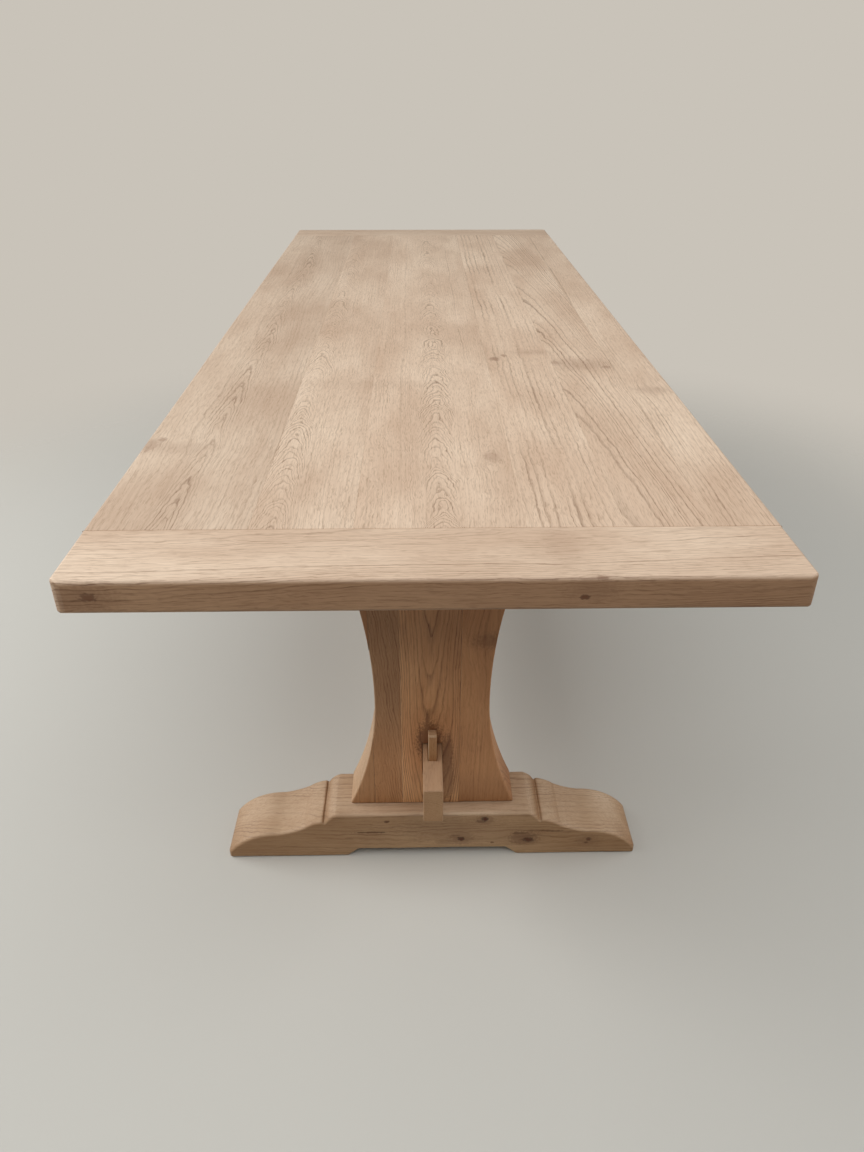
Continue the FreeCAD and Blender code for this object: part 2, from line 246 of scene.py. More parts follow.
def knotGroup():
    # bends the grain round a branch, and gives its core and the darker rim of bark round that
    tree, into, out = newGroup(
        "knot", "ShaderNodeTree",
        {"Board": "Vector", "Across": "Float", "Along": "Float", "Radius": "Float", "Dark": "Float",
         "Stretch": "Float", "Through": "Float", "Reach": "Float"},
        {"Board": "Vector", "Core": "Float", "Rim": "Float"})
    add = partial(addNode, tree)
    place = add(splitNode, (into["Board"],))
    across = add("SUBTRACT", (place[0], into["Across"]))[0]
    along = add("SUBTRACT", (place[1], into["Along"]))[0]
    along = add("DIVIDE", (along, into["Stretch"]))[0]
    through = add("SUBTRACT", (place[2], into["Through"]))[0]
    through = add("DIVIDE", (through, into["Reach"]))[0]
    away = add(joinNode, (across, along, through))[0]
    ranges = {}
    for name in ("core", "halo"):
        wide, long = knotShape[name]
        scaled = add(vectorNode, (away, (1 / wide, 1 / long, 1 / wide)), operation="MULTIPLY")[0]
        length = add(vectorNode, (scaled,), operation="LENGTH")[1]
        ranges[name] = add("DIVIDE", (length, into["Radius"]))[0]
    wide, long = knotShape["grit"]
    scaled = add(vectorNode, (into["Board"], (1 / wide, 1 / long, 1 / wide)), operation="MULTIPLY")[0]
    wobble = add(noiseNode, {"Vector": scaled, "Scale": 1.0, "Detail": 2.5})[0]
    wobble = add("SUBTRACT", (wobble, 0.5))[0]
    ragged = add("MULTIPLY_ADD", (wobble, knotShape["ragged"], ranges["core"]))[0]
    fade = add("MULTIPLY_ADD", (into["Dark"], knotShape["crisper"], knotShape["gone"]))[0]
    core = add(rangeNode, (ragged, knotShape["solid"], fade, 1.0, 0.0),
               interpolation_type="SMOOTHSTEP")[0]
    beside = add("SUBTRACT", (ragged, knotShape["rim"]))[0]
    beside = add("ABSOLUTE", (beside,))[0]
    rim = add(rangeNode, (beside, 0.0, knotShape["rimWidth"], knotShape["rimDepth"], 0.0),
              interpolation_type="SMOOTHSTEP")[0]
    bark = add("POWER", (into["Dark"], knotShape["barkPower"]))[0]
    for name, mark, amount in (("Core", core, into["Dark"]), ("Rim", rim, bark)):
        mark = add("MULTIPLY", (mark, amount))[0]
        tree.links.new(mark, out[name])
    pull = add(rangeNode, (ranges["halo"], 0.0, 1.0, knotShape["pull"], 0.0),
               interpolation_type="SMOOTHSTEP")[0]
    pull = add("MULTIPLY", (pull, into["Dark"]))[0]
    moved = add("MULTIPLY", (across, pull))[0]
    moved = add("SUBTRACT", (place[0], moved))[0]
    board = add(joinNode, (moved, place[1], place[2]))[0]
    tree.links.new(board, out["Board"])
    return tree


oakFigure = oakFigureGroup()
knot = knotGroup()

# in each palette, side is the colour multiplied onto faces turned from the light: painted shade
topOak = {  # planed oak, bleached and oiled: pale and matt, with soft brown grain
    "light": "#E3CEB8", "shade": "#CAB099", "line": "#785A43", "pore": "#8E7259", "streak": "#AE9178",
    "knot": "#7A5238", "bark": "#57382A", "side": "#CDB69F", "end": "#D5C2B0",
    "lineDepth": 0.88, "poreDepth": 0.34, "streakDepth": 0.2,
}
trestleOak = {  # the same oak, knottier, with browner colours as painted shade for the trestle under the top
    "light": "#E2C6A8", "shade": "#C09E7E", "line": "#5C3924", "pore": "#7A5439", "streak": "#9C7355",
    "knot": "#54301B", "bark": "#2E170B", "side": "#EFCEAE", "end": "#D5C2B0",
    "lineDepth": 0.75, "poreDepth": 0.22, "streakDepth": 0.22,
}
footOak = dict(trestleOak, light="#DABFA1", shade="#B79776", side="#DCCBB4", knot="#60300F",
               lineDepth=0.95, poreDepth=0.22, streakDepth=0.24)
# the stretcher's darker colours are painted shade on the tenon under the top; its near-white side and end
# colours leave the tenon's end nearly untinted
stretcherOak = dict(trestleOak, light="#CDAB8B", shade="#B38F6E", side="#FEF8ED", end="#FEF8EC",
                    lineDepth=0.6)
# oiled: a low sheen over open pores 0.2 mm deep
oakFinish = {"ior": 1.45, "roughness": (0.5, 0.62), "relief": 0.2, "reliefShare": 0.3}
knotLabels = ("Across", "Along", "Radius", "Dark", "Stretch", "Through", "Reach")
rightThrough = (0, 1000)  # place and reach of a knot that goes right through its board
flameLabels = ("Flame", "Flame Width", "Flame Pitch", "Flame Spread", "Flame Pace", "Flame Kink")
noFlame = (0, -60, 30, 9, 0, 0)


def oak(name, spec, palette):
    material, tree = newMaterial(name)
    add = partial(addNode, tree)
    across, along = axes[spec["across"]], axes[spec["along"]]
    turn = Matrix((across, along, across.cross(along)))
    coordinate = add("ShaderNodeTexCoord")["Object"]
    board = add("ShaderNodeMapping", {"Vector": coordinate, "Location": -(turn @ spec["centre"]) / mm,
                                      "Rotation": turn.to_euler(), "Scale": (1 / mm,) * 3})[0]
    marks = {"Core": 0.0, "Rim": 0.0}
    for place in spec.get("knots", ()):
        values = dict(zip(knotLabels, (*place, *rightThrough)))
        spot = add(groupNode, {"Board": board, **values}, node_tree=knot)
        board = spot["Board"]
        for label, mark in marks.items():
            marks[label] = add("MAXIMUM", (mark, spot[label]))[0]
    values = {"Seed": spec["seed"], "Pith": (spec["pith"][0], 0, spec["pith"][1]), "Ring": spec["ring"],
              "Taper": spec["taper"], "Wander": spec["wander"], "Ripple": spec["ripple"],
              "Plain Line": spec.get("plainLine", 1.0),
              **dict(zip(flameLabels, spec.get("flame", noFlame)))}
    grain = add(groupNode, {"Board": board, **values}, node_tree=oakFigure)
    tone = spec.get("tone", 1.0)
    tones = tone if isinstance(tone, tuple) else (tone,) * 3
    pale, shade = ([channel * part for channel, part in zip(linear(palette[key]), tones)] + [1]
                   for key in ("light", "shade"))
    colour = add(mixNode, {0: grain["Blotch"], 6: pale, 7: shade}, data_type="RGBA")[2]
    for output, depth, hue in (("Streak", "streakDepth", "streak"), ("Line", "lineDepth", "line"),
                               ("Dash", "poreDepth", "pore")):
        amount = add("MULTIPLY", (grain[output], spec.get(depth, palette[depth])))[0]
        colour = add(mixNode, {0: amount, 6: colour, 7: linear(palette[hue])}, data_type="RGBA")[2]
    for label, hue in (("Core", "knot"), ("Rim", "bark")):
        colour = add(mixNode, {0: marks[label], 6: colour, 7: linear(palette[hue])},
                     data_type="RGBA")[2]
    if "darker" in spec:  # darker towards one end of the board: a painted shadow of the top on upper pedestal boards, painted shade on the foot's left end
        start, full, most = spec["darker"]
        lengthwise = add(splitNode, (board,))[1]
        amount = add(rangeNode, (lengthwise, start, full, 0.0, most),
                     interpolation_type="SMOOTHSTEP")[0]
        colour = add(mixNode, {0: amount, 6: colour, 7: linear(palette["knot"])}, data_type="RGBA")[2]
    # faces turned from the light get the side colour as painted shade, and end grain drinks more oil
    bleachAndPaintedLightMask = add("ShaderNodeAttribute", attribute_name="bleachAndPaintedLight")["Fac"]
    endFace = add("ShaderNodeAttribute", attribute_name="endGrain")["Fac"]
    paintedShadeColour = add(mixNode, {0: 1.0, 6: colour, 7: linear(palette["side"])}, data_type="RGBA",
                blend_type="MULTIPLY")[2]
    colour = add(mixNode, {0: bleachAndPaintedLightMask, 6: paintedShadeColour, 7: colour}, data_type="RGBA")[2]
    thirsty = add(mixNode, {0: 1.0, 6: colour, 7: linear(palette["end"])}, data_type="RGBA",
                  blend_type="MULTIPLY")[2]
    colour = add(mixNode, {0: endFace, 6: colour, 7: thirsty}, data_type="RGBA")[2]
    height = add("ADD", (grain["Dash"], grain["Line"]))[0]
    bump = add("ShaderNodeBump", {"Strength": oakFinish["reliefShare"], "Height": height,
                                  "Distance": oakFinish["relief"] * mm}, invert=True)[0]
    rough = add(rangeNode, (grain["Streak"], 0.0, 1.0, *oakFinish["roughness"]))[0]
    shader = add("ShaderNodeBsdfPrincipled",
                 {"Base Color": colour, "Roughness": rough, "Normal": bump, "IOR": oakFinish["ior"]})[0]
    add("ShaderNodeOutputMaterial", {"Surface": shader})
    return material


zincPlating = {  # zinc-plated steel: grey, with the soft spangle and dull patches of a plating bath
    "dark": "#9A9C9E", "bright": "#C4C5C4", "spangle": 2.5, "roughness": (0.28, 0.5),
}


def zincPlate():
    material, tree = newMaterial("zincPlatedSteel")
    add = partial(addNode, tree)
    place = add("ShaderNodeTexCoord")["Object"]
    spangle = add(noiseNode,
                  {"Vector": place, "Scale": 1 / (zincPlating["spangle"] * mm), "Detail": 3.0})[0]
    colour = add(mixNode, {0: spangle, 6: linear(zincPlating["dark"]),
                           7: linear(zincPlating["bright"])}, data_type="RGBA")[2]
    rough = add(rangeNode, (spangle, 0.0, 1.0, *zincPlating["roughness"]))[0]
    shader = add("ShaderNodeBsdfPrincipled",
                 {"Base Color": colour, "Roughness": rough, "Metallic": 1.0})[0]
    add("ShaderNodeOutputMaterial", {"Surface": shader})
    return material


# faces that look up keep the pale colour fully, partly as the top's own pale finish and partly as painted
# light; those that look to the table's left keep it less, as painted light from that side; and those that
# look to its right not at all, as painted shade
paintedLeftLight = 0.75
shadedSide = (0.35, 0.95)  # turn to the right at which the painted shade sets in, and at which it is full
endGrainPower = 4  # only faces that nearly cross the grain count as end grain


def plainMesh(piece):
    graph = bpy.context.evaluated_depsgraph_get()
    mesh = bpy.data.meshes.new_from_object(piece.evaluated_get(graph))
    piece.modifiers.clear()
    piece.data = mesh


# share of the pale colour that a face keeps: the pale finish with painted light, and painted shade on
# faces turned to the right
def bleachAndPaintedLightOf(normal):
    start, stop = shadedSide
    turned = max(0, min(1, (normal.x - start) / (stop - start)))
    return max(0, normal.z, -paintedLeftLight * normal.x) * (1 - turned * turned * (3 - 2 * turned))


def settle(piece, material, grainAxis, body, slot, *replaced):
    # makes a plain mesh of the modifiers, marks its faces for the oak's painted light and shade and its
    # end grain, and hands the piece to its body
    plainMesh(piece)
    piece.data.shade_smooth()
    piece.data.set_sharp_from_angle(angle=math.radians(sharpAngle))
    flat = piece.modifiers.new("flatFaces", "WEIGHTED_NORMAL")
    flat.weight = 100  # large faces decide
    flat.keep_sharp = True
    plainMesh(piece)
    mesh = piece.data
    mesh.materials.clear()
    mesh.materials.append(material)
    # each face's share of the pale colour: the pale finish with painted light, the rest painted shade
    bleachAndPaintedLight = mesh.attributes.new("bleachAndPaintedLight", "FLOAT", "FACE")
    normals = [face.normal for face in mesh.polygons]
    bleachAndPaintedLight.data.foreach_set("value", [bleachAndPaintedLightOf(normal) for normal in normals])
    endGrain = mesh.attributes.new("endGrain", "FLOAT", "FACE")
    endGrain.data.foreach_set("value",
                              [abs(normal.dot(axes[grainAxis])) ** endGrainPower for normal in normals])
    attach(piece, body)
    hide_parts(*replaced)


handPlane = {  # a plane held by hand takes a little more here and a little less there
    "usual": 0.8, "spread": 0.35, "pace": 9.0,  # share of the full easing, and changes in a metre
    "noise": (0.3, 0.7), "share": (0.65, 1.0),  # the same for the boards of the top
}


def handEase(point):
    return handPlane["usual"] + handPlane["spread"] * noise.noise(point * handPlane["pace"])


def mergedCopy(node):
    work = bmesh.new()
    work.from_mesh(nodes[node].data)
    bmesh.ops.remove_doubles(work, verts=work.verts, dist=closeBy)
    return work


def islands(node):
    # boxes of the separate solids in a CAD node, in the order of its points
    work = mergedCopy(node)
    boxes, seen = [], set()
    for first in work.verts:
        if first in seen:
            continue
        found, edge = set(), {first}
        while edge:
            found |= edge
            edge = {other.other_vert(vert) for vert in edge for other in vert.link_edges} - found
        seen |= found
        corners = [[choose(vert.co[axis] for vert in found) for axis in range(3)]
                   for choose in (min, max)]
        boxes.append([Vector(corner) for corner in corners])
    work.free()
    return boxes


bevelSegments = 4


def addBevel(piece, width):
    bevel = piece.modifiers.new("ease", "BEVEL")
    bevel.limit_method = "WEIGHT"
    bevel.width = width * mm
    bevel.segments = bevelSegments
    bevel.use_clamp_overlap = False


# degrees: faces flatter than the first are one, and edges past the second are eased
flatAngle, arrisAngle = 0.4, 50


def easedCopy(node, name, ease, planes=(), thinFrom=None):
    # a merged copy of the CAD piece with eased arrises: by a share on the planes (axis, place, share),
    # and less towards the distance from the table's middle line at which the piece runs out thin
    work = mergedCopy(node)
    bmesh.ops.dissolve_limit(work, angle_limit=math.radians(flatAngle), verts=work.verts,
                             edges=work.edges)
    weights = work.edges.layers.float.new("bevel_weight_edge")
    for edge in work.edges:
        edge.smooth = True
        if edge.calc_face_angle_signed(0) < math.radians(arrisAngle):
            continue
        middle = (edge.verts[0].co + edge.verts[1].co) / 2
        amounts = [part for axis, place, part in planes
                   if all(abs(vert.co[axis] - place) < onPlane for vert in edge.verts)]
        edge[weights] = handEase(middle) * min(amounts, default=1)
        if thinFrom is not None:
            edge[weights] *= max(0, min(1, (abs(middle.x) / mm - thinFrom) / easing["tip"]))
    for face in work.faces:
        face.smooth = True
    mesh = nodes[node].data.copy()
    work.to_mesh(mesh)
    work.free()
    for attribute in [attribute for attribute in mesh.attributes if attribute.name == "custom_normal"]:
        mesh.attributes.remove(attribute)
    piece = addObject(name, mesh)
    addBevel(piece, ease)
    return piece


def finishTree(tree, geometry, into, out):
    # every tree ends so, because the export drops instances
    add = partial(addNode, tree)
    plain = add("GeometryNodeRealizeInstances", {"Geometry": geometry})[0]
    painted = add("GeometryNodeSetMaterial", {"Geometry": plain, "Material": into["Material"]})[0]
    tree.links.new(painted, out[0])
    return tree


facing = 0.9  # part of a face's normal along an axis, past which it faces that way


def boardTree():
    # a board of the top: a divided box with a tongue on its ends or a groove in its inner edge,
    # and bevel weights that vary along the arrises as hand easing does
    tree, into, out = newGroup(
        "boardTree", "GeometryNodeTree",
        {"Geometry": "Geometry", "Width": "Float", "Length": "Float", "Thickness": "Float",
         "Segments": "Int", "Left Ease": "Float", "Right Ease": "Float", "End Ease": "Float",
         "Left Corner": "Float", "Widest Ease": "Float",
         "Joint Thickness": "Float", "Tongue": "Float", "Tongue Left": "Float", "Tongue Right": "Float",
         "Groove": "Float", "Groove End": "Float", "Seed": "Float", "Centre": "Vector", "Turn": "Vector",
         "Material": "Material"},
        {"Geometry": "Geometry"})
    add = partial(addNode, tree)
    compare, logic = "FunctionNodeCompare", "FunctionNodeBooleanMath"
    size = add(joinNode, (into["Width"], into["Length"], into["Thickness"]))[0]
    # four rows of points across and through: for both arrises and both cheeks of the joint
    box = add("GeometryNodeMeshCube",
              {"Size": size, "Vertices X": 4, "Vertices Y": into["Segments"], "Vertices Z": 4})["Mesh"]
    halves = {name: add("MULTIPLY", (into[name], 0.5))[0]
              for name in ("Width", "Length", "Thickness", "Joint Thickness")}
    point = add("GeometryNodeInputPosition")[0]
    place = add(splitNode, (point,))
    distance = [add("ABSOLUTE", (socket,))[0] for socket in place]
    side = [add("SIGN", (socket,))[0] for socket in place]
    # inner rows of points move to the cheeks and shoulders of the tongue
    leftLimit = add("SUBTRACT", (into["Tongue Left"], halves["Width"]))[0]
    rightLimit = add("SUBTRACT", (halves["Width"], into["Tongue Right"]))[0]
    onRight = add(compare, (place[0], 0.0), data_type="FLOAT", operation="GREATER_THAN")[0]
    limit = add(switchNode, (onRight, leftLimit, rightLimit), input_type="FLOAT")[0]
    quarter = add("MULTIPLY", (into["Width"], 0.25))[0]
    inner = add(compare, (distance[0], quarter), data_type="FLOAT", operation="LESS_THAN")[0]
    newAcross = add(switchNode, (inner, place[0], limit), input_type="FLOAT")[0]
    quarter = add("MULTIPLY", (into["Thickness"], 0.25))[0]
    inner = add(compare, (distance[2], quarter), data_type="FLOAT", operation="LESS_THAN")[0]
    cheek = add("MULTIPLY", (side[2], halves["Joint Thickness"]))[0]
    newUp = add(switchNode, (inner, place[2], cheek), input_type="FLOAT")[0]
    moved = add(joinNode, (newAcross, place[1], newUp))[0]
    mesh = add("GeometryNodeSetPosition", {"Geometry": box, "Position": moved})[0]
    mesh = add("GeometryNodeMergeByDistance", {"Geometry": mesh, "Distance": closeBy})[0]
    # bevel weights on the twelve arrises, before the joints add their own edges
    at = {}
    for axis, name in enumerate(("Width", "Length", "Thickness")):
        at[name] = add(compare, {0: distance[axis], 1: halves[name], "Epsilon": onPlane},
                       data_type="FLOAT", operation="EQUAL")[0]
    sideEase = add(switchNode, (onRight, into["Left Ease"], into["Right Ease"]), input_type="FLOAT")[0]
    least = add("MINIMUM", (sideEase, into["End Ease"]))[0]
    corner = add(switchNode, (onRight, into["Left Corner"], least), input_type="FLOAT")[0]
    ease = 0.0
    for pair, amount in ((("Width", "Thickness"), sideEase), (("Length", "Thickness"), into["End Ease"]),
                         (("Width", "Length"), corner)):
        both = add(logic, (at[pair[0]], at[pair[1]]), operation="AND")[0]
        ease = add(switchNode, (both, ease, amount), input_type="FLOAT")[0]
    hand = add(noiseNode, {"Vector": point, "W": into["Seed"], "Scale": handPlane["pace"],
                           "Detail": 1.0}, noise_dimensions="4D")[0]
    hand = add(rangeNode, (hand, *handPlane["noise"], *handPlane["share"]))[0]
    ease = add("MULTIPLY", (ease, hand))[0]
    weight = add("DIVIDE", (ease, into["Widest Ease"]))[0]
    mesh = add("GeometryNodeStoreNamedAttribute",
               {"Geometry": mesh, "Name": "bevel_weight_edge", "Value": weight},
               data_type="FLOAT", domain="EDGE")[0]
    # tongues on both ends, or a groove along the right edge
    normal = add("GeometryNodeInputNormal")[0]
    turned = add(splitNode, (normal,))
    core = add(compare, (distance[2], halves["Joint Thickness"]), data_type="FLOAT",
               operation="LESS_THAN")[0]
    endward = add("ABSOLUTE", (turned[1],))[0]
    shortened = add("SUBTRACT", (halves["Length"], into["Groove End"]))[0]
    joints = (
        ("Tongue", ((endward, facing, "GREATER_THAN"), (place[0], leftLimit, "GREATER_THAN"),
                    (place[0], rightLimit, "LESS_THAN"))),
        ("Groove", ((turned[0], facing, "GREATER_THAN"), (distance[1], shortened, "LESS_THAN"))),
    )
    for name, tests in joints:
        used = add(compare, (into[name], 0.0), data_type="FLOAT", operation="NOT_EQUAL")[0]
        chosen = add(logic, (core, used), operation="AND")[0]
        for value, bound, test in tests:
            passed = add(compare, (value, bound), data_type="FLOAT", operation=test)[0]
            chosen = add(logic, (chosen, passed), operation="AND")[0]
        mesh = add("GeometryNodeExtrudeMesh",
                   {"Mesh": mesh, "Selection": chosen, "Offset Scale": into[name], "Individual": False},
                   mode="FACES")[0]
    mesh = add("GeometryNodeSetShadeSmooth", {"Geometry": mesh})[0]
    mesh = add("GeometryNodeTransform",
               {"Geometry": mesh, "Translation": into["Centre"], "Rotation": into["Turn"]})[0]
    return finishTree(tree, mesh, into, out)


def grow(name, tree, values, points=()):
    # an object whose modifier runs a Geometry Nodes tree on a few points
    mesh = bpy.data.meshes.new(name)
    mesh.from_pydata([tuple(point) for point in points], [], [])
    piece = addObject(name, mesh)
    modifier = piece.modifiers.new(tree.name, "NODES")
    modifier.node_group = tree
    for socket in tree.interface.items_tree:
        if socket.in_out == "INPUT" and socket.name in values:
            modifier[socket.identifier] = values[socket.name]
    return piece


topBoards = boardTree()
tops = {  # shared by the planks and the breadboard ends
    "corner": 16.0, "arris": 6.5, "joint": 0.35, "shoulder": 1.4,  # easing of each kind of edge
    "division": 28.0,  # between points along a board
    "jointThickness": 15.0, "tongue": 30.0, "tongueInset": 25.0, "groove": 31.0, "grooveEnd": 24.0,
}
planks = {  # from left to right; flame is (across, half width, pitch, spread, pace, kink), a knot is
    # (across, along, radius, darkness, stretch along the grain, place and reach through the board)
    # tone is each plank's own shade of oak, with the right-hand planks raised as painted light against
    # the weaker right lamp
    1: {"pith": (-160, -60), "ring": 8.0, "taper": 0.004, "wander": 40, "ripple": 6, "tone": 0.92,
        "flame": (-6, 22, 70, 10, 120, 1.6), "plainLine": 0.5,
        "knots": ((-94, -835, 11, 0.4, 1.6), (-84, -812, 6, 0.5, 1.0), (-50, -846, 46, 0.16, 0.3))},
    2: {"pith": (110, -40), "ring": 5.0, "taper": 0.004, "wander": 30, "ripple": 9, "tone": 1.02,
        "plainLine": 0.7, "flame": (-44, 26, 21, 10, 120, 2.4), "knots": ((0, -537, 70, 0.07, 0.2),)},
    3: {"pith": (-150, -30), "ring": 4.6, "taper": 0.003, "wander": 34, "ripple": 9, "tone": 1.06,
        "plainLine": 0.75, "flame": (4, 25, 22, 11, 150, 2.6),
        "knots": ((84, -889, 10, 0.34, 1.3), (-40, -537, 70, 0.07, 0.2))},
    4: {"pith": (-190, -50), "ring": 9.0, "taper": 0.003, "wander": 22, "ripple": 8, "tone": 1.09,
        "knots": ((-48, -380, 9, 0.55, 1.0), (-28, -356, 6, 0.5, 1.0), (34, -333, 32, 0.2, 0.35))},
    5: {"pith": (120, -50), "ring": 9.0, "taper": 0.01, "wander": 30, "ripple": 4, "tone": 1.08,
        "flame": (-62, 150, 120, 26, 50, 0.5),
        "knots": ((-4, -418, 46, 0.26, 0.5), (-44, -408, 9, 0.4, 0.9), (38, -437, 8, 0.45, 0.9))},
    6: {"pith": (160, -60), "ring": 7.5, "taper": 0.003, "wander": 24, "ripple": 4, "tone": 1.06,
        "knots": ((2, -579, 26, 0.24, 0.5),)},
}
for number, spec in planks.items():
    node = f"top_plank_{number}"
    low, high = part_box(node)
    middle, size = (low + high) / 2, high - low
    outer = {-1: number == 1, 1: number == len(planks)}
    spec.update(across="x", along="y", centre=middle, seed=plankStep * number)
    material = oak(f"bleachedOiledOak_plank{number}", spec, topOak)
    length = size.y - 2 * tops["tongue"] * mm
    piece = grow(f"plank_{number}", topBoards, {
        "Width": size.x, "Length": length, "Thickness": size.z,
        "Segments": round(length / mm / tops["division"]) + 1,
        "Left Ease": tops["arris" if outer[-1] else "joint"] * mm,
        "Right Ease": tops["arris" if outer[1] else "joint"] * mm,
        "End Ease": tops["shoulder"] * mm, "Left Corner": tops["joint"] * mm,
        "Widest Ease": tops["corner"] * mm,
        "Joint Thickness": tops["jointThickness"] * mm, "Tongue": tops["tongue"] * mm,
        "Tongue Left": tops["tongueInset"] * mm * outer[-1],
        "Tongue Right": tops["tongueInset"] * mm * outer[1],
        "Seed": spec["seed"], "Centre": middle, "Material": material})
    addBevel(piece, tops["corner"])
    settle(piece, material, "y", "table", "top_oak", node)
print("planks:", len(planks))

breadboards = {
    "near": {"seed": 31, "pith": (70, -105), "ring": 3.6, "taper": 0.03, "wander": 40, "ripple": 5,
             "tone": 1.04,
             "knots": ((-64, 174, 3.4, 0.9, 1.4, 4, 1.0), (-64, 182, 13, 0.26, 1.5, -6, 1.0),
                       (-62, 193, 3.5, 0.5, 1.4, -21, 1.0), (-64, -405, 5.5, 0.8, 1.4, -1, 1.0),
                       (-64, -418, 17, 0.34, 1.6, 0, 0.8), (20, 156, 45, 0.13, 0.3))},
    "far": {"seed": 33, "pith": (60, -80), "ring": 3.8, "taper": 0.02, "wander": 40, "ripple": 5},
}
for end, spec in breadboards.items():
    node = f"{end}_breadboard_end"
    low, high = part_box(node)
    middle, size = (low + high) / 2, high - low
    spec.update(across="y", along="x", centre=middle)
    material = oak(f"bleachedOiledOak_{end}Breadboard", spec, topOak)
    piece = grow(f"{end}_breadboard", topBoards, {
        "Width": size.y, "Length": size.x, "Thickness": size.z,
        "Segments": round(size.x / mm / tops["division"]) + 1,
        "Left Ease": tops["arris"] * mm, "Right Ease": tops["shoulder"] * mm,
        "End Ease": tops["arris"] * mm,
        "Left Corner": tops["corner"] * mm, "Widest Ease": tops["corner"] * mm,
        "Joint Thickness": tops["jointThickness"] * mm,
        "Groove": -tops["groove"] * mm, "Groove End": tops["grooveEnd"] * mm,
        "Seed": spec["seed"], "Centre": middle,
        "Turn": Vector((0, 0, -ends[end] * math.pi / 2)), "Material": material})
    addBevel(piece, tops["corner"])
    settle(piece, material, "x", "table", "top_oak", node)
print("breadboard ends:", len(breadboards))

easing = {
    "pedestal": 3.5, "bearer": 3.5, "stretcher": 3.0, "wedge": 2.0,  # arris radii
    "glueLine": 0.3, "base": 1.5,  # share of it along the pedestal's glue lines and round its base
    "tip": 10.0,  # width over which a flare's easing dies away towards its thin end
}
sledFoot = {
    "arris": 6.5, "steps": 5,  # rounding along the outline, and its rings of points
    "smoothing": 10.0,  # that rounding runs straight across details narrower than this
    "corner": 4.0, "cornerSteps": 4, "cornerAngle": 40,  # rounding of its corners past this angle
    "cornerShare": 0.45,  # most of a side that one corner may take
    "spacing": 9.0,  # between points along the outline
    "holeSides": 32, "mortiseAbove": 10.0,  # how far the mortise's cutter stands out of the foot
    "mortiseBelow": 0.6,  # the mortise's floor is under this share of the foot's height
}


def outline(node, outside):
    # the points (x, z) of the flat outer face of a CAD piece, in order
    work = mergedCopy(node)
    flat = {face for face in work.faces if all(abs(vert.co.y - outside) < onPlane for vert in face.verts)}
    rim = [edge for edge in work.edges if len(flat.intersection(edge.link_faces)) == 1]
    following = {}
    for edge in rim:
        for vert in edge.verts:
            following.setdefault(vert, []).append(edge.other_vert(vert))
    first = rim[0].verts[0]
    loop, previous = [first], None
    while True:
        after = [vert for vert in following[loop[-1]] if vert is not previous]
        previous = loop[-1]
        if after[0] is first and len(loop) > 2:
            break
        loop.append(after[0])
    points = [Vector((vert.co.x, vert.co.z)) for vert in loop]
    work.free()
    area = sum(a.cross(b) for a, b in zip(points, points[1:] + points[:1]))
    return points if area > 0 else points[::-1]


def softened(points):
    # corners become small curves, and long runs are divided
    radius, share, steps = sledFoot["corner"], sledFoot["cornerShare"], sledFoot["cornerSteps"]
    curved = []
    for before, point, after in zip(points[-1:] + points[:-1], points, points[1:] + points[:1]):
        if (point - before).angle(after - point) < math.radians(sledFoot["cornerAngle"]):
            curved.append(point)
            continue
        start, stop = (point + (other - point).normalized() * min(radius, share * (other - point).length)
                       for other in (before, after))
        for step in range(steps + 1):
            part = step / steps
            curved.append(start.lerp(point, part).lerp(point.lerp(stop, part), part))
    divided = []
    for point, after in zip(curved, curved[1:] + curved[:1]):
        pieces = max(1, round((after - point).length / sledFoot["spacing"]))
        divided += [point.lerp(after, step / pieces) for step in range(pieces)]
    return divided


def inward(points, window):
    # normals into the outline, averaged over a stretch of it
    runs = [after - point for point, after in zip(points, points[1:] + points[:1])]
    reach = [0.0]
    for run in runs:
        reach.append(reach[-1] + run.length)
    whole = reach[-1]
    normals = []
    for here in reach[:-1]:
        total = Vector((0, 0))
        for run, start in zip(runs, reach):
            away = abs((start + run.length / 2 - here + whole / 2) % whole - whole / 2)
            total += Vector((-run.y, run.x)) * max(0, 1 - away / window)
        normals.append(total.normalized())
    return normals


def loftedFoot(node, name, outside, inside, cutters):
    # the outline, carried through the foot's thickness with both arrises rounded
    points = softened([point / mm for point in outline(node, outside)])
    normals = inward(points, sledFoot["smoothing"])
    arris, steps = sledFoot["arris"], sledFoot["steps"]
    deep = 1 if inside > outside else -1
    rings = []
    turns = [step / steps * math.pi / 2 for step in range(steps + 1)]
    for face, sign in ((outside, deep), (inside, -deep)):
        rim = [(face + sign * arris * mm * (1 - math.sin(turn)), arris * (1 - math.cos(turn)))
               for turn in turns]
        rings += rim[::-1] if face == outside else rim
    work = bmesh.new()
    loops = []
    for depth, inset in rings:
        places = []
        for point, normal in zip(points, normals):
            eased = inset * handEase(Vector((point.x, outside / mm, point.y)) * mm)
            spot = (point + normal * eased) * mm
            places.append(work.verts.new((spot.x, depth, spot.y)))
        loops.append(places)
    for ring, behind in zip(loops, loops[1:]):
        for index in range(len(ring)):
            after = (index + 1) % len(ring)
            work.faces.new((ring[index], ring[after], behind[after], behind[index]))
    caps = [work.faces.new(cap) for cap in (loops[0], loops[-1])]
    bmesh.ops.triangulate(work, faces=caps)
    bmesh.ops.recalc_face_normals(work, faces=work.faces)
    for face in work.faces:
        face.smooth = True
    piece = addObject(name, meshFrom(work, name))
    for cutter in cutters:
        cut = piece.modifiers.new("joint", "BOOLEAN")
        cut.object = cutter
        cut.solver = "EXACT"
    return piece


